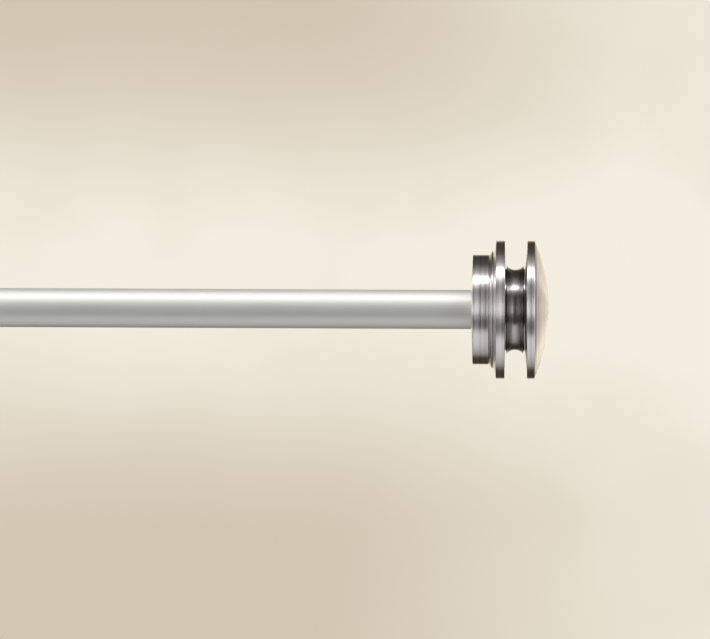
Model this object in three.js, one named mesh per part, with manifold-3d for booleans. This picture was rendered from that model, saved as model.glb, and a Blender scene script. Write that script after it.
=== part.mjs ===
// Adjustable curtain rod with two turned finials, on two wall brackets.
//
// Millimetres. X runs along the rod, the wall is the plane y = 0 with the room at -Y, and +Z is up.
// The origin is the centre of the left wall plate's back face.

import * as THREE from 'three';
import { mergeVertices } from 'three/addons/utils/BufferGeometryUtils.js';
import Module from 'manifold-3d';

const wasm = await Module();
wasm.setup();

// ---------------------------------------------------------------- driving dimensions

// Clearances
const seatGap = 0.15; // between faces that are tightened against each other
const threadGap = 0.35; // all round a thread, which is drawn as its plain outside cylinder
const slideGap = 0.4; // all round a piece that slides in, or lies in, another

// Facets of the round pieces
const bigSides = 32;
const smallSides = 20;

// Rod
const rodDiameter = 19.05; // outer tube
const outerWall = 1.2;
const innerWall = 1.0;
const outerTail = 31.75; // from the left bracket's centre line to the outer tube's open end
const innerLength = 660;
const rodSpan = 914.4; // from collar to collar, as set
const overhang = 280; // from a bracket's centre line to the collar beyond it
const plugLength = 18;
const glideLength = 20;
const glideHead = 4; // length of the glide that stands out of the inner tube
const mouthCapLength = 6;
const mouthCapWall = 0.9;
const mouthLip = 1.2; // thickness of the cap's end lip

// Finial, from the rod outwards
const socketDepth = 4; // how far the rod's end stands in the collar
const collarDiameter = 53.5;
const collarLength = 8.8;
const collarDish = 0.8; // how far the collar's face falls back towards its rim
const edgeBevel = 0.35;
const beadDiameter = 57.2;
const beadLength = 1.65;
const beadRound = 0.3; // rounding of the bead's crest
const flangeDiameter = 67.3;
const flangeRoot = 57.8; // diameter where its cone begins, beside the bead
const flangeRim = 4.35;
const flangeCone = 1.4; // how far the flange's face nearest the rod falls back towards its rim
const neckLength = 9.55;
const neckShoulder = 40.0; // diameter of the short step at either end of the neck
const neckTip = 43.5; // diameter over the neck's sharp edges
const neckWaist = 39.1;
const neckLand = 0.4; // length of that step
const neckFlare = 0.55; // from the step to the sharp edge
const capRim = 3.7;
const capCone = 1.0;
const capEdgeLength = 1.0; // soft edge between the cap's rim and its dome
const capEdgeDepth = 1.8; // how far in that edge reaches
const domeRise = 5.9;
const domeCore = 4; // metal left in front of the stud's blind hole
const studDiameter = 6;
const studGrip = 13; // how deep the stud screws into the rod's plug
const nutFlats = 10;
const nutThickness = 3;

// Bracket
const projection = 88.9; // from the wall to the rod's axis, arm pushed in
const plateDiameter = 49;
const plateThickness = 3;
const bossLength = 8;
const wallScrewDiameter = 5;
const wallScrewHead = 9.6;
const wallScrewSpacing = 36;
const coverDiameter = 54;
const coverDepth = 7.2; // depth of the cover's plain rim
const coverStep = 3.2; // depth of the raised ring inside it
const coverStepDiameter = 40;
const coverWall = 1.4;
const wallClearance = 0.5; // between the cover's rim and the wall
const armDiameter = 12.7;
const armEndGap = 1; // between the arm and the plate's boss
const sleeveWall = 2.8;
const sleeveLength = 60;
const sleeveFlange = 27; // diameter of the flange that traps the cover
const sleeveFlangeThickness = 2.4;
const spigotDiameter = 8;
const spigotSkin = 1.8; // metal left between the spigot's hole and the rod
const cradleWidth = 16;
const cradleWall = 3.4;
const cradleRise = 7.5; // height of the cradle's walls above the rod's axis
const cradleBossDiameter = 14;
const cradleBossLength = 3.4;
const screwDiameter = 5;
const screwHeadDiameter = 13;
const screwHeadLength = 6.5;
const screwNeck = 1.6; // plain length between a screw's head and the wall it goes through
const lockHeadDiameter = 9.5;
const lockHeadLength = 5;
const lockSetback = 7; // from the sleeve's mouth to its lock screw

// ---------------------------------------------------------------- sizes that follow

const rodRadius = rodDiameter / 2;
const outerBore = rodRadius - outerWall;
const innerRadius = outerBore - slideGap;
const innerBore = innerRadius - innerWall;
const studRadius = studDiameter / 2;
const studBore = studRadius + threadGap;

const armRadius = armDiameter / 2;
const sleeveBore = armRadius + slideGap;
const sleeveRadius = sleeveBore + sleeveWall;
const cradleBore = rodRadius + slideGap;
const cradleRadius = cradleBore + cradleWall;

const leftCollar = -overhang;
const rightCollar = rodSpan - overhang;
const rightBracket = rodSpan - 2 * overhang;

// ---------------------------------------------------------------- finishes

const satinRod = { color: 0xc4c4c0, roughness: 0.34, metalness: 1 };
const turnedNickel = { color: 0xb9b6b4, roughness: 0.2, metalness: 1 };
const bracketNickel = { color: 0xbdbbb8, roughness: 0.28, metalness: 1 };
const zincSteel = { color: 0xa3a5a6, roughness: 0.4, metalness: 1 };
const greyNylon = { color: 0xb7b8b6, roughness: 0.55, metalness: 0 };

// ---------------------------------------------------------------- tools

// Shapes are turned about Y and extruded along Z, and these lay them along another axis.
const axisX = new THREE.Vector3(1, 0, 0);
const axisY = new THREE.Vector3(0, 1, 0);
const axisZ = new THREE.Vector3(0, 0, 1);
const yToX = new THREE.Matrix4().makeBasis(axisZ, axisX, axisY);
const yToZ = new THREE.Matrix4().makeBasis(axisY, axisZ, axisX);
const zToX = yToZ;

// Twice the signed area of an outline, positive when it runs anticlockwise.
function turning(points) {
  return points.reduce((sum, point, i) => {
    const next = points[(i + 1) % points.length];
    return sum + point.x * next.y - next.x * point.y;
  }, 0);
}

// A solid of revolution. Each outline point is [radius, distance along the axis].
function turned(outline, sides) {
  const points = outline.map(([radius, along]) => new THREE.Vector2(radius, along));
  if (turning(points) < 0) points.reverse();
  const start = points.findIndex((point, i) => point.x === 0 && points.at(i - 1).x === 0);
  if (start < 0) points.push(points[0].clone());
  else points.push(...points.splice(0, start)); // so that it starts and ends on the axis
  return new THREE.LatheGeometry(points, sides);
}

// A plain round bar or, with a bore, a tube.
function bar(radius, from, to, sides, bore = 0) {
  return turned([[bore, from], [radius, from], [radius, to], [bore, to]], sides);
}

// Points of an arc in an outline, its end points included.
function arc(radiusAt, alongAt, size, fromAngle, toAngle, steps) {
  const points = [];
  for (let i = 0; i <= steps; i += 1) {
    const share = i / steps;
    const angle = fromAngle * (1 - share) + toAngle * share;
    points.push([radiusAt + size * Math.sin(angle), alongAt + size * Math.cos(angle)]);
  }
  return points;
}

// Booleans work on closed meshes that share their vertices. Triangles that shrink to a line
// where vertices merge, such as those at a turned shape's poles, are dropped.
function toSolid(geometry) {
  const bare = geometry.clone();
  bare.deleteAttribute('normal');
  bare.deleteAttribute('uv');
  const merged = mergeVertices(bare);
  const corners = merged.index.array;
  const triangles = [];
  for (let i = 0; i < corners.length; i += 3) {
    const [a, b, c] = corners.slice(i, i + 3);
    if (a !== b && b !== c && c !== a) triangles.push(a, b, c);
  }
  return new wasm.Manifold(new wasm.Mesh({
    numProp: 3,
    vertProperties: merged.attributes.position.array,
    triVerts: Uint32Array.from(triangles),
  }));
}

function fromSolid(solid) {
  const mesh = solid.getMesh();
  const geometry = new THREE.BufferGeometry();
  geometry.setAttribute('position', new THREE.BufferAttribute(mesh.vertProperties, 3));
  geometry.setIndex(new THREE.BufferAttribute(mesh.triVerts, 1));
  return geometry;
}

// The first shape with the others joined to it and the cutters taken away.
function shaped(base, joins, cutters) {
  let solid = toSolid(base);
  for (const extra of joins) solid = solid.add(toSolid(extra));
  for (const cutter of cutters) solid = solid.subtract(toSolid(cutter));
  return fromSolid(solid);
}

function piece(name, geometry, finish) {
  const mesh = new THREE.Mesh(geometry, new THREE.MeshStandardMaterial(finish));
  mesh.name = name;
  return mesh;
}

// ---------------------------------------------------------------- rod

const outerRight = rightCollar + socketDepth - seatGap;
const outerLeft = -outerTail;
const innerLeft = leftCollar - socketDepth + seatGap;
const innerRight = innerLeft + innerLength;

function tube(name, radius, bore, from, to) {
  return piece(name, bar(radius, from, to, bigSides, bore).applyMatrix4(yToX), satinRod);
}

// Pressed into a tube's end, tapped for the finial's stud.
function plug(name, bore, from, to) {
  const radius = bore - seatGap;
  return piece(name, bar(radius, from, to, bigSides, studBore).applyMatrix4(yToX), zincSteel);
}

// Covers the cut end of the outer tube, where the inner tube comes out of it.
function mouthCap() {
  const inside = rodRadius + seatGap;
  const outside = inside + mouthCapWall;
  const lip = innerRadius + slideGap;
  const inner = outerLeft - seatGap;
  const end = inner - mouthLip;
  const skirt = end + mouthCapLength;
  const outline = [
    [lip, end], [outside - edgeBevel, end], [outside, end + edgeBevel],
    [outside, skirt], [inside, skirt], [inside, inner], [lip, inner],
  ];
  return piece('mouth_cap', turned(outline, bigSides).applyMatrix4(yToX), greyNylon);
}

// Fills the hidden end of the inner tube and centres it in the outer one.
function innerGlide() {
  const shank = innerBore - seatGap;
  const head = innerRadius;
  const shoulder = innerRight + seatGap;
  const end = shoulder + glideHead;
  const start = shoulder - (glideLength - glideHead);
  const outline = [
    [0, start], [shank, start], [shank, shoulder], [head, shoulder],
    [head, end - 2 * edgeBevel], [head - 2 * edgeBevel, end], [0, end],
  ];
  return piece('inner_glide', turned(outline, bigSides).applyMatrix4(yToX), greyNylon);
}

function rod() {
  const group = new THREE.Group();
  group.add(
    tube('outer_tube', rodRadius, outerBore, outerLeft, outerRight),
    tube('inner_tube', innerRadius, innerBore, innerLeft, innerRight),
    plug('outer_plug', outerBore, outerRight - plugLength, outerRight),
    plug('inner_plug', innerBore, innerLeft, innerLeft + plugLength),
    mouthCap(),
    innerGlide(),
  );
  group.position.set(0, -projection, 0);
  return group;
}

// ---------------------------------------------------------------- finial

// Places along the finial, from the collar's face at 0 outwards.
const collarEnd = collarLength;
const beadStart = collarEnd + seatGap;
const beadEnd = beadStart + beadLength;
const flangeStart = beadEnd + seatGap;
const flangeEnd = flangeStart + flangeCone + flangeRim;
const neckStart = flangeEnd + seatGap;
const neckEnd = neckStart + neckLength;
const capStart = neckEnd + seatGap;
const capRimEnd = capStart + capCone + capRim;
const domeStart = capRimEnd + capEdgeLength;
const capEnd = domeStart + domeRise;
const nutStart = socketDepth + seatGap;
const nutEnd = nutStart + nutThickness;
const studStart = socketDepth - studGrip;
const studEnd = capEnd - domeCore;

function collar(rodEnd) {
  const radius = collarDiameter / 2;
  const socket = rodEnd + slideGap;
  const pocket = nutFlats / 2 / Math.cos(Math.PI / 6) + threadGap;
  const outline = [
    [socket, 0], [radius - edgeBevel, collarDish], [radius, collarDish + edgeBevel],
    [radius, collarEnd], [studBore, collarEnd], [studBore, nutEnd + seatGap],
    [pocket, nutEnd + seatGap], [pocket, socketDepth], [socket, socketDepth],
  ];
  return turned(outline, bigSides).applyMatrix4(yToX);
}

// Rises from the collar's rim to a fine raised bead.
function beadRing() {
  const base = collarDiameter / 2;
  const crest = beadDiameter / 2 - beadRound;
  const middle = beadEnd - beadRound;
  const outline = [
    [studBore, beadStart], [base, beadStart],
    ...arc(crest, middle, beadRound, Math.PI * 0.7, 0, 4),
    [studBore, beadEnd],
  ];
  return turned(outline, bigSides).applyMatrix4(yToX);
}

function flange() {
  const radius = flangeDiameter / 2;
  const outline = [
    [studBore, flangeStart], [flangeRoot / 2, flangeStart],
    [radius - edgeBevel, flangeStart + flangeCone],
    [radius, flangeStart + flangeCone + edgeBevel],
    [radius, flangeEnd - edgeBevel], [radius - edgeBevel, flangeEnd], [studBore, flangeEnd],
  ];
  return turned(outline, bigSides).applyMatrix4(yToX);
}

// A waisted spool with a short step and a sharp flared edge at either end.
function neck() {
  const shoulder = neckShoulder / 2;
  const middle = (neckStart + neckEnd) / 2;
  const half = neckLength / 2 - neckLand - neckFlare;
  const hollow = (neckTip - neckWaist) / 2;
  const size = (half * half + hollow * hollow) / (2 * hollow);
  const spread = Math.asin(half / size);
  const outline = [
    [studBore, neckStart], [shoulder, neckStart], [shoulder, neckStart + neckLand],
    ...arc(neckWaist / 2 + size, middle, size, 1.5 * Math.PI - spread, 1.5 * Math.PI + spread, 8),
    [shoulder, neckEnd - neckLand], [shoulder, neckEnd], [studBore, neckEnd],
  ];
  return turned(outline, bigSides).applyMatrix4(yToX);
}

// Second disc and dome in one, with a blind hole for the stud.
function endCap() {
  const radius = flangeDiameter / 2;
  const domeEdge = radius - capEdgeDepth;
  const sphere = (domeEdge * domeEdge + domeRise * domeRise) / (2 * domeRise);
  const outline = [
    [studBore, capStart], [neckShoulder / 2, capStart],
    [radius - edgeBevel, capStart + capCone], [radius, capStart + capCone + edgeBevel],
    [radius, capRimEnd], [radius - 0.25 * capEdgeDepth, capRimEnd + 0.5 * capEdgeLength],
    ...arc(0, capEnd - sphere, sphere, Math.asin(domeEdge / sphere), 0, 6),
    [0, studEnd + seatGap], [studBore, studEnd + seatGap],
  ];
  return turned(outline, bigSides).applyMatrix4(yToX);
}

function hexNut() {
  const corner = nutFlats / 2 / Math.cos(Math.PI / 6);
  const hexagon = new THREE.Shape();
  for (let i = 0; i < 6; i += 1) {
    const angle = i * Math.PI / 3;
    const x = corner * Math.cos(angle);
    const y = corner * Math.sin(angle);
    if (i === 0) hexagon.moveTo(x, y);
    else hexagon.lineTo(x, y);
  }
  hexagon.closePath();
  const hole = new THREE.Path();
  hole.absarc(0, 0, studBore, 0, 2 * Math.PI, true);
  hexagon.holes.push(hole);
  const nut = new THREE.ExtrudeGeometry(hexagon, {
    depth: nutThickness, bevelEnabled: false, curveSegments: smallSides,
  });
  return nut.applyMatrix4(zToX).translate(nutStart, 0, 0);
}

function finial(side, rodEnd) {
  const stud = bar(studRadius, studStart, studEnd, smallSides).applyMatrix4(yToX);
  const group = new THREE.Group();
  group.add(
    piece(`${side}_collar`, collar(rodEnd), turnedNickel),
    piece(`${side}_bead_ring`, beadRing(), turnedNickel),
    piece(`${side}_flange`, flange(), turnedNickel),
    piece(`${side}_neck`, neck(), turnedNickel),
    piece(`${side}_end_cap`, endCap(), turnedNickel),
    piece(`${side}_stud`, stud, zincSteel),
    piece(`${side}_stud_nut`, hexNut(), zincSteel),
  );
  return group;
}

// ---------------------------------------------------------------- bracket

// Distances from the wall are negative y.
const plateFront = -plateThickness;
const bossFront = plateFront - bossLength;
const coverBack = -wallClearance;
const coverRimFront = coverBack - coverDepth;
const coverFront = coverRimFront - coverStep;
const sleeveBack = plateFront - seatGap;
const sleeveFront = sleeveBack - sleeveLength;
const cradleBack = -projection + cradleRadius;
const cradleBossBack = cradleBack + cradleBossLength;
const armFront = cradleBossBack + seatGap;
const armBack = bossFront - armEndGap;
const spigotTip = -projection + cradleBore + spigotSkin + seatGap;
const lockPlace = sleeveFront + lockSetback;

function wallPlate() {
  const disc = bar(plateDiameter / 2, 0, plateFront, bigSides);
  const boss = bar(sleeveBore - threadGap, plateFront / 2, bossFront, smallSides);
  const sink = (wallScrewHead - wallScrewDiameter) / 2;
  const hole = turned([
    [0, 1], [wallScrewDiameter / 2, 1], [wallScrewDiameter / 2, plateFront + sink],
    [wallScrewHead / 2 + 1, plateFront - 1], [0, plateFront - 1],
  ], smallSides);
  const cutters = [-1, 1].map((side) => hole.clone().translate(0, 0, side * wallScrewSpacing / 2));
  return shaped(disc, [boss], cutters);
}

// A stepped cup over the plate and its screws.
function rosetteCover() {
  const rim = coverDiameter / 2;
  const step = coverStepDiameter / 2;
  const hole = sleeveRadius + slideGap;
  const outline = [
    [rim, coverBack], [rim, coverRimFront + edgeBevel], [rim - edgeBevel, coverRimFront],
    [step, coverRimFront], [step, coverFront + edgeBevel], [step - edgeBevel, coverFront],
    [hole, coverFront], [hole, coverFront + coverWall],
    [step - coverWall, coverFront + coverWall], [step - coverWall, coverRimFront + coverWall],
    [rim - coverWall, coverRimFront + coverWall], [rim - coverWall, coverBack],
  ];
  return turned(outline, bigSides);
}

// Screws on the plate's boss, holds the cover down and guides the arm.
function sleeve() {
  const flangeBack = coverFront - seatGap;
  const flangeFront = flangeBack - sleeveFlangeThickness;
  const body = turned([
    [sleeveBore, sleeveBack], [sleeveRadius, sleeveBack], [sleeveRadius, flangeBack],
    [sleeveFlange / 2, flangeBack], [sleeveFlange / 2, flangeFront + edgeBevel],
    [sleeveFlange / 2 - edgeBevel, flangeFront], [sleeveRadius, flangeFront],
    [sleeveRadius, sleeveFront + edgeBevel], [sleeveRadius - edgeBevel, sleeveFront],
    [sleeveBore, sleeveFront],
  ], bigSides);
  const screwHole = bar(screwDiameter / 2 + threadGap, 0, -2 * sleeveRadius, smallSides)
    .applyMatrix4(yToZ).translate(0, lockPlace, 0);
  return shaped(body, [], [screwHole]);
}

// A round bar, turned down at the front to a spigot that screws into the cradle.
function arm() {
  const spigot = spigotDiameter / 2;
  return turned([
    [0, armBack], [armRadius - edgeBevel, armBack], [armRadius, armBack - edgeBevel],
    [armRadius, armFront + edgeBevel], [armRadius - edgeBevel, armFront],
    [spigot, armFront], [spigot, spigotTip], [0, spigotTip],
  ], bigSides);
}

// The outline of a U, open at the top, as a solid that reaches up to a height.
function halfRound(radius, height, width) {
  const outline = new THREE.Shape();
  outline.moveTo(radius, height);
  outline.lineTo(radius, 0);
  outline.absarc(0, 0, radius, 0, Math.PI, true);
  outline.lineTo(-radius, height);
  outline.closePath();
  const block = new THREE.ExtrudeGeometry(outline, {
    depth: width, bevelEnabled: false, curveSegments: bigSides / 2,
  });
  return block.translate(0, 0, -width / 2).applyMatrix4(zToX).translate(0, -projection, 0);
}

// A U that is open at the top, so that the rod lies down into it.
function cradle() {
  const block = halfRound(cradleRadius, cradleRise, cradleWidth);
  const channel = halfRound(cradleBore, 2 * cradleRise, 2 * cradleWidth);
  const boss = bar(cradleBossDiameter / 2, cradleBossBack, -projection, bigSides);
  const spigotHole = bar(spigotDiameter / 2 + threadGap, cradleBossBack + 1, spigotTip - seatGap,
    smallSides);
  const screwHole = bar(screwDiameter / 2 + threadGap, -projection, -projection - 2 * cradleRadius,
    smallSides);
  return shaped(block, [boss], [channel, spigotHole, screwHole]);
}

// A shank with a round gripping head. The tip is at 0 and the head points to -Y.
function gripScrew(shank, headDiameter, headLength) {
  const radius = screwDiameter / 2;
  const head = headDiameter / 2;
  const end = -shank - headLength;
  return turned([
    [0, 0], [radius - edgeBevel, 0], [radius, -edgeBevel], [radius, -shank],
    [head - edgeBevel, -shank], [head, -shank - edgeBevel],
    [head, end + edgeBevel], [head - edgeBevel, end], [0, end],
  ], smallSides);
}

function thumbScrew() {
  const tip = -projection - rodRadius - seatGap;
  const shank = cradleRadius - rodRadius - seatGap + screwNeck;
  return gripScrew(shank, screwHeadDiameter, screwHeadLength).translate(0, tip, 0);
}

function lockScrew() {
  const tip = -armRadius - seatGap;
  const shank = sleeveRadius - armRadius - seatGap + screwNeck;
  return gripScrew(shank, lockHeadDiameter, lockHeadLength)
    .applyMatrix4(yToZ).translate(0, lockPlace, tip);
}

function bracket(side) {
  const group = new THREE.Group();
  group.add(
    piece(`${side}_wall_plate`, wallPlate(), zincSteel),
    piece(`${side}_rosette_cover`, rosetteCover(), bracketNickel),
    piece(`${side}_sleeve`, sleeve(), bracketNickel),
    piece(`${side}_arm`, arm(), bracketNickel),
    piece(`${side}_cradle`, cradle(), bracketNickel),
    piece(`${side}_thumb_screw`, thumbScrew(), bracketNickel),
    piece(`${side}_lock_screw`, lockScrew(), bracketNickel),
  );
  return group;
}

// ---------------------------------------------------------------- the whole set

const set = new THREE.Group();

const rightFinial = finial('right', rodRadius);
rightFinial.position.set(rightCollar, -projection, 0);

const leftFinial = finial('left', innerRadius);
leftFinial.position.set(leftCollar, -projection, 0);
leftFinial.rotation.z = Math.PI;

const leftBracket = bracket('left');
const farBracket = bracket('right');
farBracket.position.set(rightBracket, 0, 0);

set.add(rod(), rightFinial, leftFinial, leftBracket, farBracket);

export default set;
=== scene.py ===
import math
import bpy
import bmesh
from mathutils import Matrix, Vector


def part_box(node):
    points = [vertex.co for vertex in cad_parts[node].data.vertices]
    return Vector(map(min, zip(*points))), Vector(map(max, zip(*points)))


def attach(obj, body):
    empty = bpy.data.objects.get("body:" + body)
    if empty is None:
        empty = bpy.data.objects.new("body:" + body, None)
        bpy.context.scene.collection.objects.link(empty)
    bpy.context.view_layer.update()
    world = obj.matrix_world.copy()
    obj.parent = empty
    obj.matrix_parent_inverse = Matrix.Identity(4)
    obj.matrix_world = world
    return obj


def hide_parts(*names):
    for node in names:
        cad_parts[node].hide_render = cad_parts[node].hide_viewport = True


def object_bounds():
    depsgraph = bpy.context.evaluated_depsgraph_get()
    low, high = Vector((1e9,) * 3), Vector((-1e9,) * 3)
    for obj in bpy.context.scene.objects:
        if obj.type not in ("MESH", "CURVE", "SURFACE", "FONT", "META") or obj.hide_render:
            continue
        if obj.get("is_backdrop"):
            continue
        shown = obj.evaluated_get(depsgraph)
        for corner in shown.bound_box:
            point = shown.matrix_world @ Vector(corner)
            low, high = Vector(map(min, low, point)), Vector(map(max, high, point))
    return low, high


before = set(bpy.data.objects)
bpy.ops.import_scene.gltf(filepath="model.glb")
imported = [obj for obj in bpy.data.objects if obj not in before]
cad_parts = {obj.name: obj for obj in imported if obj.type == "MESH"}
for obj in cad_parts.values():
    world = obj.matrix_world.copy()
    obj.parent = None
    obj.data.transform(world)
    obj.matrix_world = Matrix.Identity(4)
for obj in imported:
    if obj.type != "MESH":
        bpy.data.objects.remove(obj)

quarter = math.pi / 2     # a quarter turn
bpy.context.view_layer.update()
print("frame loaded:", len(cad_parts), "nodes")


def nodeCentre(node):
    low, high = (Vector(corner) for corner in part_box(node))
    return (low + high) / 2


def nodeSize(node):
    low, high = (Vector(corner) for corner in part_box(node))
    return high - low


rodAxis = nodeCentre("outer_tube")

# The camera comes first, because everything is judged from it.
cameraSetup = {
    "distance": 6.0,
    "viewWidth": 0.3458,          # metres of the object across the frame
    "inboard": 0.0565,            # aims this far from the right collar's face, towards the rod
    "below": 0.0051,              # and this far under the rod's axis
    "yaw": math.radians(1.0),     # stands a little to the right of square on
    "roll": math.radians(0.25),   # the rod's right end hangs a hair low
}


def makeCamera(setup):
    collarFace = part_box("right_collar")[0][0]
    aim = Vector((collarFace - setup["inboard"], rodAxis.y, rodAxis.z - setup["below"]))
    away = Vector((math.sin(setup["yaw"]), -math.cos(setup["yaw"]), 0))
    data = bpy.data.cameras.new("mainCamera")
    data.sensor_width = 36
    data.lens = data.sensor_width * setup["distance"] / setup["viewWidth"]
    data.clip_start = 0.5
    data.clip_end = 40
    camera = bpy.data.objects.new("mainCamera", data)
    bpy.context.scene.collection.objects.link(camera)
    camera.location = aim + away * setup["distance"]
    camera.rotation_euler = (quarter, 0, setup["yaw"])
    camera.rotation_euler.rotate_axis("Z", setup["roll"])
    bpy.context.scene.camera = camera


makeCamera(cameraSetup)
print("camera placed")


def addNode(tree, kind, values=None, **settings):
    node = tree.nodes.new(kind)
    for name, value in settings.items():
        setattr(node, name, value)
    for name, value in (values or {}).items():
        node.inputs[name].default_value = value
    return node


def wire(tree, out, into):
    tree.links.new(out, into)


def mathNode(tree, operation, *values):
    node = addNode(tree, "ShaderNodeMath", operation=operation)
    for socket, value in zip(node.inputs, values):
        if isinstance(value, (int, float)):
            socket.default_value = value
        else:
            wire(tree, value, socket)
    return node.outputs[0]


# Turns 0 to 1 into low to high.
def spread(tree, value, low, high):
    node = addNode(tree, "ShaderNodeMapRange", {"To Min": low, "To Max": high})
    wire(tree, value, node.inputs["Value"])
    return node.outputs["Result"]


# Turns start to end into 0 to 1.
def fade(tree, value, start, end):
    node = addNode(tree, "ShaderNodeMapRange", {"From Min": start, "From Max": end},
                   interpolation_type="SMOOTHSTEP")
    wire(tree, value, node.inputs["Value"])
    return node.outputs["Result"]


def blend(tree, factor, first, second):
    rest = mathNode(tree, "SUBTRACT", 1, factor)
    return mathNode(tree, "ADD", mathNode(tree, "MULTIPLY", rest, first),
                    mathNode(tree, "MULTIPLY", factor, second))


# The mix node's colour sockets are numbers 6 and 7, and its colour output is number 2.
def tint(tree, value, dark, light):
    node = addNode(tree, "ShaderNodeMix", data_type="RGBA")
    for socket, colour in ((6, dark), (7, light)):
        node.inputs[socket].default_value = (*colour, 1)
    wire(tree, value, node.inputs["Factor"])
    return node.outputs[2]


def newGroup(name, inputs, outputs):
    group = bpy.data.node_groups.new(name, "ShaderNodeTree")
    for label, kind, value in inputs:
        socket = group.interface.new_socket(label, in_out="INPUT", socket_type=kind)
        if value is not None:
            socket.default_value = value
    for label in outputs:
        group.interface.new_socket(label, in_out="OUTPUT", socket_type="NodeSocketFloat")
    return group, group.nodes.new("NodeGroupInput"), group.nodes.new("NodeGroupOutput")


# The place along X and the distance from the X axis.
def alongAndRadius(tree, place):
    parts = addNode(tree, "ShaderNodeSeparateXYZ")
    wire(tree, place, parts.inputs[0])
    along, side, up = parts.outputs
    squares = mathNode(tree, "ADD", mathNode(tree, "MULTIPLY", side, side),
                       mathNode(tree, "MULTIPLY", up, up))
    return along, mathNode(tree, "SQRT", squares)


# Fine and broad noise, and the even mix of the two.
def twoNoises(tree, place, socket, fineValues, broadValues, **settings):
    fine = addNode(tree, "ShaderNodeTexNoise", fineValues, **settings)
    broad = addNode(tree, "ShaderNodeTexNoise", broadValues, **settings)
    wire(tree, place, fine.inputs[socket])
    wire(tree, place, broad.inputs[socket])
    both = mathNode(tree, "MULTIPLY", 0.5, mathNode(tree, "ADD", fine.outputs["Fac"],
                                                    broad.outputs["Fac"]))
    return fine.outputs["Fac"], both


# Rings that a lathe tool and a brush leave round the X axis. They run with the place along the
# axis on a side and with the radius on a face.
def makeTurnedRings():
    group, given, result = newGroup(
        "turnedRings",
        [("Place", "NodeSocketVector", None), ("Pitch", "NodeSocketFloat", 0.0005),
         ("Seed", "NodeSocketFloat", 8.1)],
        ["Height", "Shade"])
    along, radius = alongAndRadius(group, given.outputs["Place"])
    travel = mathNode(group, "ADD", along, radius)
    scaled = mathNode(group, "DIVIDE", travel, given.outputs["Pitch"])
    shifted = mathNode(group, "ADD", scaled, given.outputs["Seed"])
    fine, both = twoNoises(
        group, shifted, "W", {"Scale": 1.0, "Detail": 3.0, "Roughness": 0.6},
        {"Scale": 0.22, "Detail": 1.0, "Roughness": 0.5}, noise_dimensions="1D")
    contrast = addNode(group, "ShaderNodeMapRange", {"From Min": 0.38, "From Max": 0.62})
    wire(group, both, contrast.inputs["Value"])
    wire(group, fine, result.inputs["Height"])
    wire(group, contrast.outputs["Result"], result.inputs["Shade"])
    return group


# Fine lines that a draw bench leaves along a tube that lies on the X axis.
def makeDrawnLines():
    group, given, result = newGroup(
        "drawnLines",
        [("Place", "NodeSocketVector", None), ("Pitch", "NodeSocketFloat", 0.0003)],
        ["Height", "Shade"])
    stretch = addNode(group, "ShaderNodeVectorMath", operation="MULTIPLY")
    stretch.inputs[1].default_value = (0.004, 1, 1)
    wire(group, given.outputs["Place"], stretch.inputs[0])
    shrink = addNode(group, "ShaderNodeVectorMath", operation="DIVIDE")
    wire(group, stretch.outputs[0], shrink.inputs[0])
    wire(group, given.outputs["Pitch"], shrink.inputs[1])
    fine, both = twoNoises(group, shrink.outputs[0], "Vector", {"Scale": 1.0, "Detail": 2.0},
                           {"Scale": 0.16, "Detail": 1.0})
    wire(group, fine, result.inputs["Height"])
    wire(group, both, result.inputs["Shade"])
    return group


# Faint cloudy patches, such as hands and a cloth leave.
def makeHandling():
    group, given, result = newGroup(
        "handling", [("Place", "NodeSocketVector", None), ("Size", "NodeSocketFloat", 0.02)],
        ["Mask"])
    shrink = addNode(group, "ShaderNodeVectorMath", operation="DIVIDE")
    wire(group, given.outputs["Place"], shrink.inputs[0])
    wire(group, given.outputs["Size"], shrink.inputs[1])
    clouds = addNode(group, "ShaderNodeTexNoise", {"Scale": 1.0, "Detail": 4.0, "Roughness": 0.55})
    wire(group, shrink.outputs[0], clouds.inputs["Vector"])
    wire(group, clouds.outputs["Fac"], result.inputs["Mask"])
    return group


# 1 on the walls of a groove round the X axis, 0 on the rims beside it. This marks where shade is
# painted into the colour.
def makePaintedGrooveShade():
    group, given, result = newGroup(
        "paintedGrooveShade",
        [("Place", "NodeSocketVector", None), ("Middle", "NodeSocketFloat", 0.0),
         ("HalfWidth", "NodeSocketFloat", 0.005), ("Radius", "NodeSocketFloat", 0.03)],
        ["Mask"])
    along, radius = alongAndRadius(group, given.outputs["Place"])
    offset = mathNode(group, "ABSOLUTE",
                      mathNode(group, "SUBTRACT", along, given.outputs["Middle"]))
    beyond = mathNode(group, "SUBTRACT", offset, given.outputs["HalfWidth"])
    inside = mathNode(group, "SUBTRACT", given.outputs["Radius"], radius)
    between = mathNode(group, "SUBTRACT", 1, fade(group, beyond, 0.0004, 0.0014))
    within = fade(group, inside, 0.0003, 0.0012)
    wire(group, mathNode(group, "MULTIPLY", between, within), result.inputs["Mask"])
    return group


turnedRings = makeTurnedRings()
drawnLines = makeDrawnLines()
handling = makeHandling()
paintedGrooveShade = makePaintedGrooveShade()


def newMaterial(name):
    material = bpy.data.materials.new(name)
    material.use_nodes = True
    tree = material.node_tree
    return material, tree, tree.nodes["Principled BSDF"]


def useGroup(tree, group, place, **values):
    node = addNode(tree, "ShaderNodeGroup", node_tree=group)
    for name, value in values.items():
        node.inputs[name].default_value = value
    wire(tree, place, node.inputs["Place"])
    return node


# Object coordinates moved and turned, so that the piece's own axis is X through the middle.
def onOwnAxis(tree, centre, turn=(0, 0, 0)):
    coords = addNode(tree, "ShaderNodeTexCoord")
    shift = addNode(tree, "ShaderNodeMapping", {"Location": [-value for value in centre]})
    wire(tree, coords.outputs["Object"], shift.inputs["Vector"])
    spin = addNode(tree, "ShaderNodeMapping", {"Rotation": turn})
    wire(tree, shift.outputs["Vector"], spin.inputs["Vector"])
    return spin.outputs["Vector"]


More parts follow.
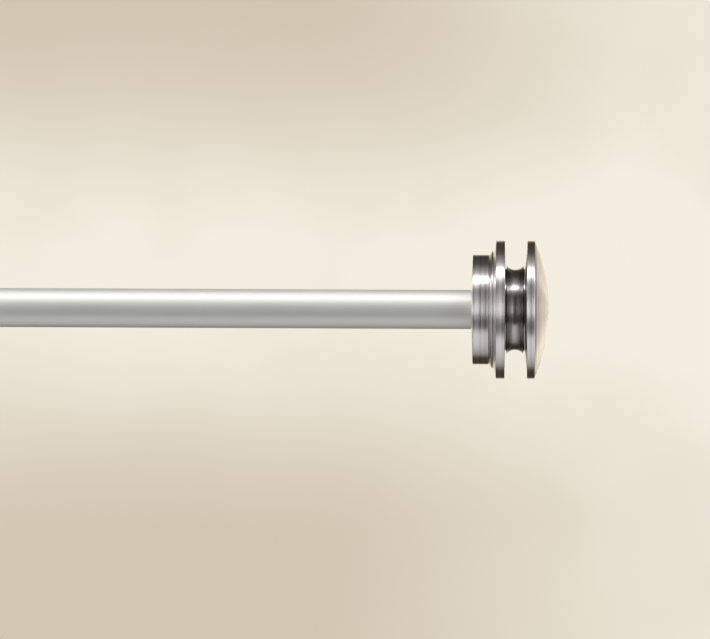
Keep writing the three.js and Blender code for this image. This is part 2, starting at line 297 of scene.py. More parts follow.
def addBump(tree, shader, height, look):
    bump = addNode(tree, "ShaderNodeBump", {"Strength": look["bump"], "Distance": look["depth"]})
    wire(tree, height, bump.inputs["Height"])
    wire(tree, bump.outputs["Normal"], shader.inputs["Normal"])


# Roughness that follows the grain, plus cloudy patches of a little more or less.
def addRoughness(tree, shader, shade, marks, look):
    grain = spread(tree, shade, *look["rough"])
    cloudy = spread(tree, marks.outputs["Mask"], -look["clouds"], look["clouds"])
    wire(tree, mathNode(tree, "ADD", grain, cloudy), shader.inputs["Roughness"])


def addTangent(tree, shader, axis):
    around = addNode(tree, "ShaderNodeTangent", direction_type="RADIAL", axis=axis)
    wire(tree, around.outputs["Tangent"], shader.inputs["Tangent"])


# Metal brushed round its own axis, so that a highlight is drawn out along that axis. A gap is the
# (place along the axis, half width, radius) of a groove whose walls get painted shade in their
# colour.
def makeTurnedMetal(name, look, centre, axis="X", turn=(0, 0, 0), gap=None):
    material, tree, shader = newMaterial(name)
    place = onOwnAxis(tree, centre, turn)
    rings = useGroup(tree, turnedRings, place, Pitch=look["pitch"])
    marks = useGroup(tree, handling, place, Size=look["cloudSize"])
    colour = tint(tree, rings.outputs["Shade"], look["dark"], look["light"])
    # Painted shade: the groove's walls are darkened by multiplying in a dark tint.
    if gap:
        groove = useGroup(tree, paintedGrooveShade, place, Middle=gap[0], HalfWidth=gap[1], Radius=gap[2])
        darken = addNode(tree, "ShaderNodeMix", data_type="RGBA", blend_type="MULTIPLY")
        wire(tree, groove.outputs["Mask"], darken.inputs["Factor"])
        wire(tree, colour, darken.inputs[6])
        darken.inputs[7].default_value = (*look["grooveShadeTint"], 1)
        colour = darken.outputs[2]
    wire(tree, colour, shader.inputs["Base Color"])
    addRoughness(tree, shader, rings.outputs["Shade"], marks, look)
    addBump(tree, shader, rings.outputs["Height"], look)
    shader.inputs["Metallic"].default_value = 1
    shader.inputs["Anisotropic"].default_value = look["anisotropy"]
    # A quarter turn blurs reflections along the axis and keeps them sharp around it.
    shader.inputs["Anisotropic Rotation"].default_value = 0.25
    addTangent(tree, shader, axis)
    return material


# A drawn tube on the X axis, which blurs reflections around it.
def makeDrawnMetal(name, look):
    material, tree, shader = newMaterial(name)
    place = onOwnAxis(tree, rodAxis)
    lines = useGroup(tree, drawnLines, place, Pitch=look["pitch"])
    marks = useGroup(tree, handling, place, Size=look["cloudSize"])
    wire(tree, tint(tree, lines.outputs["Shade"], look["dark"], look["light"]),
         shader.inputs["Base Color"])
    addRoughness(tree, shader, lines.outputs["Shade"], marks, look)
    addBump(tree, shader, lines.outputs["Height"], look)
    shader.inputs["Metallic"].default_value = 1
    shader.inputs["Anisotropic"].default_value = look["anisotropy"]
    addTangent(tree, shader, "X")
    return material


# A finish without a direction: cast, plated or moulded.
def makePlain(name, look):
    material, tree, shader = newMaterial(name)
    marks = useGroup(tree, handling, onOwnAxis(tree, (0, 0, 0)), Size=look["cloudSize"])
    mask = marks.outputs["Mask"]
    wire(tree, tint(tree, mask, look["dark"], look["light"]), shader.inputs["Base Color"])
    wire(tree, spread(tree, mask, *look["rough"]), shader.inputs["Roughness"])
    addBump(tree, shader, mask, look)
    shader.inputs["Metallic"].default_value = look["metallic"]
    return material


rodLook = {
    "dark": (0.89, 0.90, 0.86), "light": (0.97, 0.98, 0.94), "rough": (0.50, 0.58),
    "clouds": 0.03, "cloudSize": 0.03, "anisotropy": 0.5, "pitch": 0.00035,
    "bump": 0.25, "depth": 0.00001,
}

# The last colour here is painted shade for the walls of the groove between the discs.
rimLook = {
    "dark": (0.64, 0.62, 0.62), "light": (0.88, 0.86, 0.86), "rough": (0.25, 0.34),
    "clouds": 0.04, "cloudSize": 0.018, "anisotropy": 0.95, "pitch": 0.0005,
    "bump": 0.5, "depth": 0.00002, "grooveShadeTint": (0.16, 0.15, 0.14),
}

# The neck is given a darker colour than the rims, as painted shade for its recess between the
# discs, and has finer marks.
paintedShadeNeckLook = {
    "dark": (0.60, 0.57, 0.56), "light": (0.78, 0.75, 0.74), "rough": (0.25, 0.31),
    "clouds": 0.04, "cloudSize": 0.018, "anisotropy": 0.95, "pitch": 0.0005,
    "bump": 0.4, "depth": 0.00002,
}

bracketLook = {
    "dark": (0.62, 0.61, 0.59), "light": (0.72, 0.71, 0.69), "rough": (0.31, 0.37),
    "clouds": 0.04, "cloudSize": 0.018, "anisotropy": 0.6, "pitch": 0.0004,
    "bump": 0.3, "depth": 0.00001,
}

castLook = {
    "dark": (0.60, 0.59, 0.57), "light": (0.72, 0.71, 0.69), "rough": (0.30, 0.42),
    "cloudSize": 0.0012, "metallic": 1, "bump": 0.15, "depth": 0.00003,
}

zincLook = {
    "dark": (0.42, 0.44, 0.47), "light": (0.62, 0.63, 0.64), "rough": (0.30, 0.50),
    "cloudSize": 0.002, "metallic": 1, "bump": 0.2, "depth": 0.0001,
}

nylonLook = {
    "dark": (0.42, 0.42, 0.41), "light": (0.48, 0.48, 0.47), "rough": (0.42, 0.60),
    "cloudSize": 0.0006, "metallic": 0, "bump": 0.25, "depth": 0.00003,
}

satinRod = makeDrawnMetal("satinRod", rodLook)
paintedShadeNeckNickel = makeTurnedMetal("paintedShadeNeckNickel", paintedShadeNeckLook, rodAxis)
castNickel = makePlain("castNickel", castLook)
zincSteel = makePlain("zincSteel", zincLook)
greyNylon = makePlain("greyNylon", nylonLook)
print("materials made")


def deselect():
    if bpy.context.object and bpy.context.object.mode != "OBJECT":
        bpy.ops.object.mode_set(mode="OBJECT")
    bpy.ops.object.select_all(action="DESELECT")


def pick(piece):
    deselect()
    piece.select_set(True)
    bpy.context.view_layer.objects.active = piece


# An axis is a point and a direction. This says how far along one a node starts and ends.
def span(node, axis):
    point, direction = axis
    places = [(Vector(corner) - point).dot(direction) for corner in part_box(node)]
    return min(places), max(places)


def radiusOf(node, axis):
    across = [size for size, part in zip(nodeSize(node), axis[1]) if part == 0]
    return max(across) / 2


# Points of an arc, as (along, radius) pairs.
def arcPoints(along, radius, size, fromAngle, toAngle, steps):
    angles = [fromAngle + (toAngle - fromAngle) * step / steps for step in range(steps + 1)]
    return [(along + size * math.cos(angle), radius + size * math.sin(angle)) for angle in angles]


# Rounds the corners of an outline. A corner is (along, radius, rounding), and each small arc is
# held by a point just off either end, so that the flats beside it stay flat when smoothed.
def softOutline(corners, closed=True, segments=4, hold=0.00012):
    points = []
    count = len(corners)
    for index, (along, radius, *rounding) in enumerate(corners):
        corner = Vector((along, radius))
        size = rounding[0] if rounding else 0
        isEnd = not closed and index in (0, count - 1)
        if size == 0 or isEnd:
            points.append(corner)
            continue
        before = Vector(corners[index - 1][:2]) - corner
        after = Vector(corners[(index + 1) % count][:2]) - corner
        half = before.angle(after) / 2
        reach = min(size / math.tan(half), 0.45 * before.length, 0.45 * after.length)
        size = reach * math.tan(half)
        before.normalize()
        after.normalize()
        middle = corner + (before + after).normalized() * (size / math.sin(half))
        first = corner + before * reach - middle
        last = corner + after * reach - middle
        points.append(corner + before * (reach + hold))
        for step in range(segments + 1):
            points.append(middle + first.slerp(last, step / segments).normalized() * size)
        points.append(corner + after * (reach + hold))
    return [(point[0], point[1]) for point in points]


# Draws an outline as a chain of vertices and spins it round its axis.
def turnPiece(name, outline, axis, closed=True, steps=96):
    point, direction = axis
    out = Vector((1, 0, 0)) if abs(direction.z) > 0.5 else Vector((0, 0, 1))
    path = [point + direction * along + out * radius for along, radius in outline]
    if closed:
        path.append(path[0])
    deselect()
    bpy.ops.mesh.primitive_plane_add(size=0.001, location=path[0])
    piece = bpy.context.object
    piece.name = name
    bpy.ops.object.mode_set(mode="EDIT")
    bpy.ops.mesh.merge(type="CENTER")
    for here, there in zip(path, path[1:]):
        bpy.ops.mesh.extrude_region_move(TRANSFORM_OT_translate={"value": there - here})
    bpy.ops.mesh.select_all(action="SELECT")
    bpy.ops.mesh.remove_doubles(threshold=1e-6)
    bpy.ops.mesh.spin(steps=steps, angle=4 * quarter, center=point, axis=direction)
    tidyMesh()
    bpy.ops.object.transform_apply(location=True, rotation=True, scale=True)
    return piece


# Merges doubles, turns faces outwards and leaves edit mode.
def tidyMesh():
    bpy.ops.mesh.select_all(action="SELECT")
    bpy.ops.mesh.remove_doubles(threshold=1e-6)
    bpy.ops.mesh.normals_make_consistent(inside=False)
    bpy.ops.object.mode_set(mode="OBJECT")


def combine(piece, other, operation):
    pick(piece)
    bpy.ops.object.modifier_add(type="BOOLEAN")
    modifier = piece.modifiers[-1]
    modifier.operation = operation
    modifier.solver = "EXACT"
    modifier.object = other
    bpy.ops.object.modifier_apply(modifier=modifier.name)
    bpy.data.objects.remove(other)


def softenEdges(piece, width):
    pick(piece)
    bpy.ops.object.modifier_add(type="BEVEL")
    modifier = piece.modifiers[-1]
    modifier.width = width
    modifier.segments = 3
    modifier.limit_method = "ANGLE"
    modifier.angle_limit = math.radians(40)
    bpy.ops.object.modifier_apply(modifier=modifier.name)


def joinPieces(first, other):
    pick(first)
    other.select_set(True)
    bpy.ops.object.join()
    return first


def finishPiece(piece, material, body, node):
    pick(piece)
    bpy.ops.object.shade_smooth_by_angle(angle=math.radians(35))
    piece.data.materials.clear()
    piece.data.materials.append(material)
    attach(piece, body)
    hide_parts(node)


# The rod is two tubes, with a ring on the outer tube's open end.
rodLine = (Vector((0, rodAxis.y, rodAxis.z)), Vector((1, 0, 0)))
tubeShape = {"outerWall": 0.0012, "innerWall": 0.0010, "endRound": 0.0002}


def makeTube(node, wall, body):
    start, end = span(node, rodLine)
    radius = radiusOf(node, rodLine)
    soft = tubeShape["endRound"]
    tube = turnPiece(node + "_drawn", softOutline([
        (start, radius - wall, soft), (start, radius, soft),
        (end, radius, soft), (end, radius - wall, soft),
    ]), rodLine)
    finishPiece(tube, satinRod, body, node)


makeTube("outer_tube", tubeShape["outerWall"], "rod")
makeTube("inner_tube", tubeShape["innerWall"], "inner_rod")

mouthShape = {
    "gap": 0.0003,            # between the ring and the inner tube
    "lip": 0.0012,            # covers the outer tube's cut edge
    "wall": 0.0009,
    "bandRise": 0.00035, "bandSlope": 0.0004,
    "bandEnd": 0.0009,        # past the middle of the ring's thin part
    "round": 0.0004, "corner": 0.0002,
}


def makeMouthCap(shape):
    start, end = span("mouth_cap", rodLine)
    crest = radiusOf("mouth_cap", rodLine)
    low = crest - shape["bandRise"]
    inside = crest - shape["wall"]
    throat = radiusOf("inner_tube", rodLine) + shape["gap"]
    shoulder = start + shape["lip"]
    bandStart = shoulder + shape["bandSlope"]
    bandEnd = (shoulder + end) / 2 + shape["bandEnd"]
    corner = shape["corner"]
    ring = turnPiece("mouth_ring", softOutline([
        (start, throat, corner), (start, low, shape["round"]), (shoulder, low, corner),
        (bandStart, crest, corner), (bandEnd - shape["bandSlope"], crest, corner),
        (bandEnd, low, corner), (end, low, shape["round"]), (end, inside, corner / 2),
        (shoulder, inside), (shoulder, throat),
    ]), rodLine)
    finishPiece(ring, greyNylon, "rod", "mouth_cap")


makeMouthCap(mouthShape)
print("rod made")

# Each finial is a stack on a stud, turned about an axis that starts at its collar's face. A cone
# is how far a disc's face nearest the rod falls back towards its rim.
studBore = 0.0033


def finialPart(side, part, outline, axis, material, closed=True):
    node = f"{side}_{part}"
    piece = turnPiece(node + "_turned", outline, axis, closed, steps=160)
    finishPiece(piece, material, side + "_finial", node)


collarShape = {
    "dish": 0.0008,           # the face falls back towards its rim
    "socketGap": 0.0002, "socketDepth": 0.004,
    "mouthRound": 0.0002, "frontRound": 0.0003, "backRound": 0.0005,
}


def makeCollar(side, tube, axis, material, shape):
    end = span(side + "_collar", axis)[1]
    radius = radiusOf(side + "_collar", axis)
    socket = radiusOf(tube, axis) + shape["socketGap"]
    depth = shape["socketDepth"]
    finialPart(side, "collar", softOutline([
        (0, socket, shape["mouthRound"]), (shape["dish"], radius, shape["frontRound"]),
        (end, radius, shape["backRound"]), (end, studBore), (depth, studBore), (depth, socket),
    ]), axis, material)


# The bead is a thin ring with a slope up to a rounded crest.
beadShape = {"slopeStart": 0.02675, "crestRound": 0.0003, "crestTurn": 1.4 * quarter}


def makeBead(side, axis, material, shape):
    start, end = span(side + "_bead_ring", axis)
    size = shape["crestRound"]
    middle = radiusOf(side + "_bead_ring", axis) - size
    finialPart(side, "bead_ring", [
        (start, studBore), (start, shape["slopeStart"]),
        *arcPoints(end - size, middle, size, shape["crestTurn"], 0, 8), (end, studBore),
    ], axis, material)


flangeShape = {"root": 0.0289, "cone": 0.0014, "rimRound": 0.00025}


def makeFlange(side, axis, material, shape):
    start, end = span(side + "_flange", axis)
    rim = radiusOf(side + "_flange", axis)
    soft = shape["rimRound"]
    finialPart(side, "flange", softOutline([
        (start, studBore), (start, shape["root"]), (start + shape["cone"], rim, soft),
        (end, rim, soft), (end, studBore),
    ]), axis, material)


# The neck is a waist between two sharp edges, with a short step outside each.
neckShape = {"step": 0.0200, "stepLength": 0.0004, "flare": 0.00055, "waist": 0.01955}


def makeNeck(side, axis, material, shape):
    start, end = span(side + "_neck", axis)
    step = shape["step"]
    stepLength = shape["stepLength"]
    depth = radiusOf(side + "_neck", axis) - shape["waist"]
    halfLength = (end - start) / 2 - stepLength - shape["flare"]
    size = (halfLength ** 2 + depth ** 2) / (2 * depth)
    sweep = math.asin(halfLength / size)
    waist = arcPoints((start + end) / 2, shape["waist"] + size, size, -quarter - sweep,
                      -quarter + sweep, 24)
    finialPart(side, "neck", [
        (start, studBore), (start, step), (start + stepLength, step), *waist,
        (end - stepLength, step), (end, step), (end, studBore),
    ], axis, material)


capShape = {
    "root": 0.0200, "cone": 0.0010, "rimLength": 0.0037, "rimRound": 0.00025,
    "shoulderRound": 0.0006, "chamferAlong": 0.0010, "chamferIn": 0.0018, "domeRound": 0.0008,
    "studDepth": 0.0335,      # where the stud's blind hole ends
}


def makeEndCap(side, axis, material, shape):
    start, end = span(side + "_end_cap", axis)
    rim = radiusOf(side + "_end_cap", axis)
    rimStart = start + shape["cone"]
    rimEnd = rimStart + shape["rimLength"]
    domeStart = rimEnd + shape["chamferAlong"]
    domeEdge = rim - shape["chamferIn"]
    rise = end - domeStart
    sphere = (domeEdge ** 2 + rise ** 2) / (2 * rise)
    dome = arcPoints(end - sphere, 0, sphere, math.asin(domeEdge / sphere), 0, 28)
    outside = softOutline([
        (start, studBore), (start, shape["root"]), (rimStart, rim, shape["rimRound"]),
        (rimEnd, rim, shape["shoulderRound"]), (domeStart, domeEdge, shape["domeRound"]), dome[1],
    ], closed=False)
    blindHole = [(shape["studDepth"], 0), (shape["studDepth"], studBore)]
    finialPart(side, "end_cap", [*blindHole, *outside, *dome[2:]], axis, material, closed=False)


def makeFinial(side, tube, outward):
    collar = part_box(side + "_collar")
    faceX = collar[0][0] if outward > 0 else collar[1][0]
    axis = (Vector((faceX, rodAxis.y, rodAxis.z)), Vector((outward, 0, 0)))
    neck = side + "_neck"
    # The groove between the flange and the cap gets painted shade on its walls.
    gap = (nodeCentre(neck).x - rodAxis.x, nodeSize(neck).x / 2, radiusOf(side + "_flange", axis))
    nickel = makeTurnedMetal(side + "FinialNickel", rimLook, rodAxis, gap=gap)
    makeCollar(side, tube, axis, nickel, collarShape)
    makeBead(side, axis, nickel, beadShape)
    makeFlange(side, axis, nickel, flangeShape)
    makeNeck(side, axis, paintedShadeNeckNickel, neckShape)
    makeEndCap(side, axis, nickel, capShape)


makeFinial("right", "outer_tube", 1)
makeFinial("left", "inner_tube", -1)
print("finials turned")


# Brackets stand on the wall and run towards the room.
def wallLine(side, up=0.0):
    return Vector((nodeCentre(side + "_sleeve").x, 0, up)), Vector((0, -1, 0))


def cylinder(centre, radius, depth, axisName, vertices=96):
    deselect()
    turn = {"X": (0, quarter, 0), "Y": (quarter, 0, 0), "Z": (0, 0, 0)}[axisName]
    bpy.ops.mesh.primitive_cylinder_add(vertices=vertices, radius=radius, depth=depth,
                                        location=centre, rotation=turn)
    bpy.ops.object.transform_apply(location=True, rotation=True, scale=True)
    return bpy.context.object


plateShape = {
    "thickness": 0.003, "edgeRound": 0.0004, "bossRadius": 0.0064,
    "holePlace": 0.018,       # above and below the middle
    "holeRadius": 0.0025, "sinkRadius": 0.0048,
}


# Two countersunk holes, above and below the boss.
def makeWallPlate(side, shape):
    axis = wallLine(side)
    end = span(side + "_wall_plate", axis)[1]
    radius = radiusOf(side + "_wall_plate", axis)
    face = shape["thickness"]
    boss = shape["bossRadius"]
    soft = shape["edgeRound"]
    plate = turnPiece(side + "_wall_plate_pressed", softOutline([
        (0, 0), (0, radius, soft / 2), (face, radius, soft), (face, boss, soft),
        (end, boss, soft), (end, 0),
    ], closed=False), axis, closed=False)
    past = 0.001              # the drill goes this far past either face
    sinkStart = face - (shape["sinkRadius"] - shape["holeRadius"])
    for up in (-shape["holePlace"], shape["holePlace"]):
        hole = turnPiece("hole", [
            (-past, 0), (-past, shape["holeRadius"]), (sinkStart, shape["holeRadius"]),
            (face + past, shape["sinkRadius"] + past), (face + past, 0),
        ], wallLine(side, up), closed=False, steps=48)
        combine(plate, hole, "DIFFERENCE")
    finishPiece(plate, zincSteel, "wall_parts", side + "_wall_plate")


sleeveShape = {
    "bore": 0.00675, "radius": 0.00955, "flange": 0.0135, "flangeLength": 0.0024,
    "coverGap": 0.00015, "edgeRound": 0.0006, "screwHole": 0.00285,
}


def makeSleeve(side, material, shape):
    axis = wallLine(side)
    start, end = span(side + "_sleeve", axis)
    back = span(side + "_rosette_cover", axis)[1] + shape["coverGap"]
    front = back + shape["flangeLength"]
    radius = shape["radius"]
    soft = shape["edgeRound"]
    sleeve = turnPiece(side + "_sleeve_turned", softOutline([
        (start, shape["bore"]), (start, radius), (back, radius), (back, shape["flange"], soft),
        (front, shape["flange"], soft), (front, radius, soft), (end, radius, soft),
        (end, shape["bore"], soft / 2),
    ]), axis)
    lock = nodeCentre(side + "_lock_screw")
    drill = cylinder((lock.x, lock.y, -radius), shape["screwHole"], radius, "Z", 48)
    combine(sleeve, drill, "DIFFERENCE")
    finishPiece(sleeve, material, "wall_parts", side + "_sleeve")


coverShape = {
    "rimLength": 0.0072, "stepRadius": 0.0200, "wall": 0.0014, "sleeveGap": 0.0004,
    "edgeRound": 0.0003, "shoulderRound": 0.0008, "stepFoot": 0.0004, "stepRound": 0.0006,
}


# The rosette cover is a stepped cup over the plate, with a hole for the sleeve.
def makeRosette(side, material, shape):
    axis = wallLine(side)
    start, end = span(side + "_rosette_cover", axis)
    rim = radiusOf(side + "_rosette_cover", axis)
    ledge = start + shape["rimLength"]
    step = shape["stepRadius"]
    wall = shape["wall"]
    hole = sleeveShape["radius"] + shape["sleeveGap"]
    soft = shape["edgeRound"]
    cover = turnPiece(side + "_rosette_cover_spun", softOutline([
        (start, rim, soft), (ledge, rim, shape["shoulderRound"]),
        (ledge, step, shape["stepFoot"]), (end, step, shape["stepRound"]),
        (end, hole, soft), (end - wall, hole),
        (end - wall, step - wall), (ledge - wall, step - wall), (ledge - wall, rim - wall),
        (start, rim - wall, soft),
    ]), axis, steps=128)
    finishPiece(cover, material, "wall_parts", side + "_rosette_cover")


armShape = {"spigot": 0.004, "cradleGap": 0.00015, "edgeRound": 0.0006}


# The arm ends in a spigot that the cradle sits on.
def makeArm(side, material, shape):
    axis = wallLine(side)
    start, end = span(side + "_arm", axis)
    shoulder = span(side + "_cradle", axis)[0] - shape["cradleGap"]
    radius = radiusOf(side + "_arm", axis)
    soft = shape["edgeRound"]
    arm = turnPiece(side + "_arm_turned", softOutline([
        (start, 0), (start, radius, soft), (shoulder, radius, soft),
        (shoulder, shape["spigot"]), (end, shape["spigot"]), (end, 0),
    ], closed=False), axis, closed=False)
    finishPiece(arm, material, side + "_arm_body", side + "_arm")


# A cylinder along X whose top half becomes a straight-sided block: the outline of a U.
def uBlock(centre, radius, width, height):
    piece = cylinder(centre, radius, width, "X")
    bpy.ops.object.mode_set(mode="EDIT")
    bpy.ops.mesh.select_all(action="SELECT")
    bpy.ops.mesh.bisect(plane_co=centre, plane_no=(0, 0, 1), clear_outer=True, use_fill=True)
    bpy.ops.mesh.extrude_region_move(TRANSFORM_OT_translate={"value": (0, 0, height)})
    tidyMesh()
    return piece


cradleShape = {
    "rodGap": 0.0004, "wall": 0.0034, "bossRadius": 0.007, "edgeRound": 0.0005,
    "screwHole": 0.00285,
}


# The cradle is an open U for the rod, with a boss behind it and a hole for the thumb screw.
def makeCradle(side, shape):
    node = side + "_cradle"
    width = nodeSize(node).x
    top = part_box(node)[1][2]
    inside = radiusOf("outer_tube", rodLine) + shape["rodGap"]
    outside = inside + shape["wall"]
    onRod = Vector((nodeCentre(node).x, rodAxis.y, rodAxis.z))
    cradle = uBlock(onRod, outside, width, top)
    cradle.name = node + "_cast"
    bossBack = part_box(node)[1][1]
    bossDepth = bossBack - onRod.y
    bossMiddle = (onRod.x, bossBack - bossDepth / 2, onRod.z)
    combine(cradle, cylinder(bossMiddle, shape["bossRadius"], bossDepth, "Y"), "UNION")
    combine(cradle, uBlock(onRod, inside, 2 * width, 2 * top), "DIFFERENCE")
    softenEdges(cradle, shape["edgeRound"])
    front = (onRod.x, onRod.y - outside, onRod.z)
    combine(cradle, cylinder(front, shape["screwHole"], outside, "Y", 48), "DIFFERENCE")
    finishPiece(cradle, castNickel, side + "_arm_body", node)


headShape = {
    "groove": 0.94,           # radius between the teeth, as a share of that at their tips
    "chamfer": 0.0005, "chamferDepth": 0.0004,
    "rim": 0.22,              # width of the rim round the dish, as a share of the radius
    "dishDepth": 0.0004,
}


# A gripping head with straight teeth round its rim and a shallow dish in its outer end.
def toothedHead(centre, radius, length, axisName, teeth, shape):
    piece = cylinder(centre, radius, length - 2 * shape["chamferDepth"], axisName, 2 * teeth)
    along = "XYZ".index(axisName)
    first, second = (index for index in range(3) if index != along)
    bpy.ops.object.mode_set(mode="EDIT")
    mesh = bmesh.from_edit_mesh(piece.data)
    for vertex in mesh.verts:
        offset = vertex.co - Vector(centre)
        turn = math.atan2(offset[first], offset[second]) / math.pi * teeth
        vertex.select = round(turn) % 2 == 1
    mesh.select_flush_mode()
    bmesh.update_edit_mesh(piece.data)
    scale = [shape["groove"]] * 3
    scale[along] = 1
    bpy.ops.transform.resize(value=scale, center_override=centre)
    for outward in (-1, 1):
        bpy.ops.mesh.select_all(action="DESELECT")
        mesh = bmesh.from_edit_mesh(piece.data)
        for face in mesh.faces:
            face.select = face.normal[along] * outward > 0.9
        bmesh.update_edit_mesh(piece.data)
        bpy.ops.mesh.inset(thickness=shape["chamfer"], depth=shape["chamferDepth"])
        if outward < 0:
            bpy.ops.mesh.inset(thickness=shape["rim"] * radius, depth=0)
            bpy.ops.mesh.inset(thickness=shape["chamfer"], depth=-shape["dishDepth"])
    tidyMesh()
    return piece


# A screw's neck is given as a share of its head's radius.
screwShape = {"radius": 0.0025, "tipRound": 0.0004, "neckStep": 0.001, "neckRound": 0.0003}
thumbShape = {"headLength": 0.0065, "neck": 0.72, "teeth": 36}
lockShape = {"headLength": 0.0050, "neck": 0.75, "teeth": 28}


# A plain shank that ends in a short neck inside a toothed head. The head faces down the axis.
def makeScrew(node, body, axis, axisName, shape):
    start, end = span(node, axis)
    headRadius = radiusOf(node, axis)
    neck = shape["neck"] * headRadius
    neckStart = end - shape["headLength"]
    neckEnd = neckStart + screwShape["neckStep"]
    shank = turnPiece(node + "_turned", softOutline([
        (start, 0), (start, screwShape["radius"], screwShape["tipRound"]),
        (neckStart, screwShape["radius"]), (neckStart, neck, screwShape["neckRound"]),
        (neckEnd, neck), (neckEnd, 0),
    ], closed=False), axis, closed=False)
    headStart = neckStart + screwShape["tipRound"]
    middle = axis[0] + axis[1] * (headStart + end) / 2
    head = toothedHead(middle, headRadius, end - headStart, axisName, shape["teeth"], headShape)
    finishPiece(joinPieces(shank, head), castNickel, body, node)


def makeBracket(side):
    nickel = makeTurnedMetal(side + "BracketNickel", bracketLook, wallLine(side)[0], "Y",
                             (0, 0, quarter))
    makeWallPlate(side, plateShape)
    makeRosette(side, nickel, coverShape)
    makeSleeve(side, nickel, sleeveShape)
    makeArm(side, nickel, armShape)
    makeCradle(side, cradleShape)
    makeScrew(side + "_thumb_screw", side + "_thumb", wallLine(side), "Y", thumbShape)
    lockLine = (nodeCentre(side + "_lock_screw"), Vector((0, 0, -1)))
    makeScrew(side + "_lock_screw", side + "_lock", lockLine, "Z", lockShape)


makeBracket("left")
makeBracket("right")
print("brackets made")

# Hidden pieces keep their frame solids and only get a finish.
hiddenPieces = {
    "outer_plug": zincSteel, "inner_plug": zincSteel, "inner_glide": greyNylon,
    "right_stud": zincSteel, "right_stud_nut": zincSteel,
    "left_stud": zincSteel, "left_stud_nut": zincSteel,
}
for node, material in hiddenPieces.items():
    meshData = bpy.data.objects[node].data
    meshData.materials.clear()
    meshData.materials.append(material)

floorSetup = {"drop": 0.32, "size": 14.0, "colour": (0.90, 0.85, 0.75), "roughness": 0.9}


def makeFloor(setup):
    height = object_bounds()[0][2] - setup["drop"]
    deselect()
    bpy.ops.mesh.primitive_plane_add(size=setup["size"], location=(rodAxis.x, rodAxis.y, height))
    floor = bpy.context.object
    floor.name = "floor"
    bpy.ops.object.transform_apply(location=True, rotation=True, scale=True)
    material, tree, shader = newMaterial("paleFloor")
    shader.inputs["Base Color"].default_value = (*setup["colour"], 1)
    shader.inputs["Roughness"].default_value = setup["roughness"]
    floor.data.materials.append(material)
    floor.visible_glossy = False
    floor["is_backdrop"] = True


# What the metal mirrors goes by the angle up from the room side: 0 is the room, 90 straight up,
# 180 the backdrop and -90 the table. Each stop is (degrees, brightness).
stripLight = [(60, 1.2), (64, 2.5), (65, 8.0), (70, 8.0), (71, 2.0)]
ceiling = [(78, 0.90), (84, 0.55), (90, 0.38), (100, 0.22), (111, 0.085), (150, 0.05)]
window = [
    (-40, 1.0), (-34, 0.40), (-25, 0.50), (-15, 1.4), (-5, 2.9), (5, 2.9),
    (15, 1.8), (30, 1.1), (36, 0.90), (46, 0.60), (55, 0.85),
]

# Straight ahead the room is dark.
darkRoom = [(-46, 0.50), (-40, 0.05), (40, 0.05), (47, 0.20), (55, 0.45)]
table = [(-117, 0.18), (-106, 0.44), (-95, 0.52), (-85, 0.68), (-75, 0.72), (-53, 0.75)]
ahead = [
    (-180, 1.7), (-172, 1.0), (-164, 0.25), (-156, 0.05), (-124, 0.06),
    *table, *darkRoom, *stripLight, *ceiling,
    (156, 0.15), (162, 0.35), (171, 1.0), (180, 1.7),
]

# Both sides of the room have a window at eye height. The right side has a brighter table too.
toTheRight = [
    (-180, 1.9), (-165, 2.0), (-158, 0.50), (-150, 0.05), (-124, 0.07),
    (-111, 0.40), (-100, 0.90), (-75, 1.30), (-50, 1.35), *window, *stripLight, *ceiling,
    (158, 0.50), (165, 1.1), (173, 1.4), (180, 1.9),
]
toTheLeft = [
    (-180, 1.1), (-165, 1.1), (-158, 0.30), (-150, 0.05), (-124, 0.07),
    (-100, 0.20), (-50, 0.40), *window, *stripLight, *ceiling,
    (158, 0.30), (165, 1.1), (180, 1.1),
]


def brightnessRound(tree, turn, stops):
    profile = addNode(tree, "ShaderNodeFloatCurve")
    curve = profile.mapping.curves[0]
    top = max(value for _, value in stops)
    spots = [((degrees + 180) / 360, value / top) for degrees, value in stops]
    curve.points[0].location = spots[0]
    curve.points[-1].location = spots[-1]
    for spot in spots[1:-1]:
        curve.points.new(*spot)
    for point in curve.points:
        point.handle_type = "VECTOR"
    profile.mapping.update()
    wire(tree, turn, profile.inputs["Value"])
    return mathNode(tree, "MULTIPLY", profile.outputs[0], top)


backdropLook = {
    "dark": (0.62, 0.54, 0.42), "light": (0.90, 0.85, 0.74),
    "brightest": 0.0035,      # how far up, as a part of the view's direction vector
    "fadeOver": 0.022,        # and how far above and below it the light falls off
    "leftEdge": 0.1, "rightEdge": 0.75, "rightFade": (-0.022, 0.012),
    "cloud": 0.35, "cloudSize": 0.014,
}


# A pale cloth with painted light on it: brightest a little above the middle, with painted shade
# above and below that, most of all towards the left.
def backdropPaintedLight(tree, place, across, up, look):
    far = mathNode(tree, "ABSOLUTE", mathNode(tree, "SUBTRACT", up, look["brightest"]))
    rightward = fade(tree, across, *look["rightFade"])
    edge = spread(tree, rightward, look["leftEdge"], look["rightEdge"])
    # Painted light and shade on the cloth: the falloff from the brightest band and towards the
    # left.
    paintedLightLevel = blend(tree, fade(tree, far, 0, look["fadeOver"]), 1, edge)
    clouds = addNode(tree, "ShaderNodeTexNoise", {"Scale": 1 / look["cloudSize"], "Detail": 2.0})
    wire(tree, place, clouds.inputs["Vector"])
    patches = spread(tree, clouds.outputs["Fac"], 1 - look["cloud"], 1 + look["cloud"])
    return tint(tree, mathNode(tree, "MULTIPLY", paintedLightLevel, patches), look["dark"], look["light"])


# Each pair is where a fade starts and ends, as a part of the view's direction vector.
roomSetup = {
    "colour": (1.0, 0.985, 0.985),
    "glow": (1.0, 0.90, 0.72), "glowFade": (0.1, 0.5),      # the backdrop's warm light
    "sideFade": (0.30, 0.50),                               # from straight ahead to a side
    "farFade": (0.75, 0.90), "farLevel": 0.4,               # the room's end walls
    "pastFade": (0.60, 0.72), "behindFade": (0.15, 0.45),   # dark, right of the backdrop
    "pastLevel": 0.06,
}


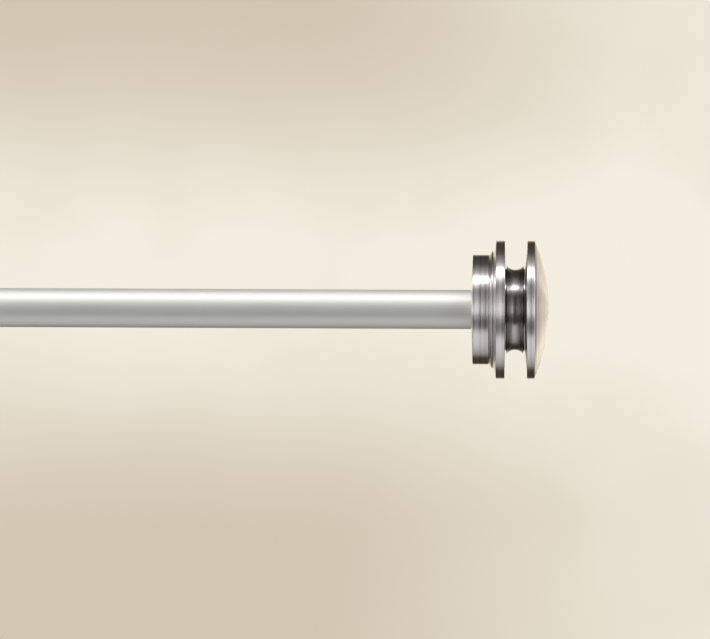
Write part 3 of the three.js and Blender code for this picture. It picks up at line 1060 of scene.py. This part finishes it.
# How bright each direction is, from the three lists and what stands at the far sides.
def roomBrightness(tree, across, back, up, setup):
    angle = mathNode(tree, "ARCTAN2", up, mathNode(tree, "MULTIPLY", back, -1))
    turn = addNode(tree, "ShaderNodeMapRange", {"From Min": -math.pi, "From Max": math.pi})
    wire(tree, angle, turn.inputs["Value"])
    middle, right, left = (brightnessRound(tree, turn.outputs["Result"], stops)
                           for stops in (ahead, toTheRight, toTheLeft))
    leftward = mathNode(tree, "MULTIPLY", across, -1)
    strength = blend(tree, fade(tree, across, *setup["sideFade"]), middle, right)
    strength = blend(tree, fade(tree, leftward, *setup["sideFade"]), strength, left)
    sideways = mathNode(tree, "ABSOLUTE", across)
    farWall = fade(tree, sideways, *setup["farFade"])
    strength = blend(tree, farWall, strength, setup["farLevel"])
    pastBackdrop = mathNode(tree, "MULTIPLY", fade(tree, across, *setup["pastFade"]),
                            fade(tree, back, *setup["behindFade"]))
    return blend(tree, pastBackdrop, strength, setup["pastLevel"])


# The camera sees the cloth. Everything else is lit by the room.
def makeWorld(setup):
    world = bpy.data.worlds.new("studio")
    bpy.context.scene.world = world
    world.use_nodes = True
    tree = world.node_tree
    tree.nodes.clear()
    coords = addNode(tree, "ShaderNodeTexCoord")
    direction = coords.outputs["Generated"]
    parts = addNode(tree, "ShaderNodeSeparateXYZ")
    wire(tree, direction, parts.inputs[0])
    across, back, up = parts.outputs
    room = addNode(tree, "ShaderNodeBackground")
    glow = fade(tree, back, *setup["glowFade"])
    wire(tree, tint(tree, glow, setup["colour"], setup["glow"]), room.inputs["Color"])
    wire(tree, roomBrightness(tree, across, back, up, setup), room.inputs["Strength"])
    cloth = addNode(tree, "ShaderNodeBackground", {"Strength": 1.0})
    wire(tree, backdropPaintedLight(tree, direction, across, up, backdropLook), cloth.inputs["Color"])
    rays = addNode(tree, "ShaderNodeLightPath")
    choose = addNode(tree, "ShaderNodeMixShader")
    wire(tree, rays.outputs["Is Camera Ray"], choose.inputs[0])
    wire(tree, room.outputs[0], choose.inputs[1])
    wire(tree, cloth.outputs[0], choose.inputs[2])
    output = addNode(tree, "ShaderNodeOutputWorld")
    wire(tree, choose.outputs[0], output.inputs["Surface"])


makeFloor(floorSetup)
makeWorld(roomSetup)
bpy.context.scene.view_settings.view_transform = "Standard"
print("stage lit")
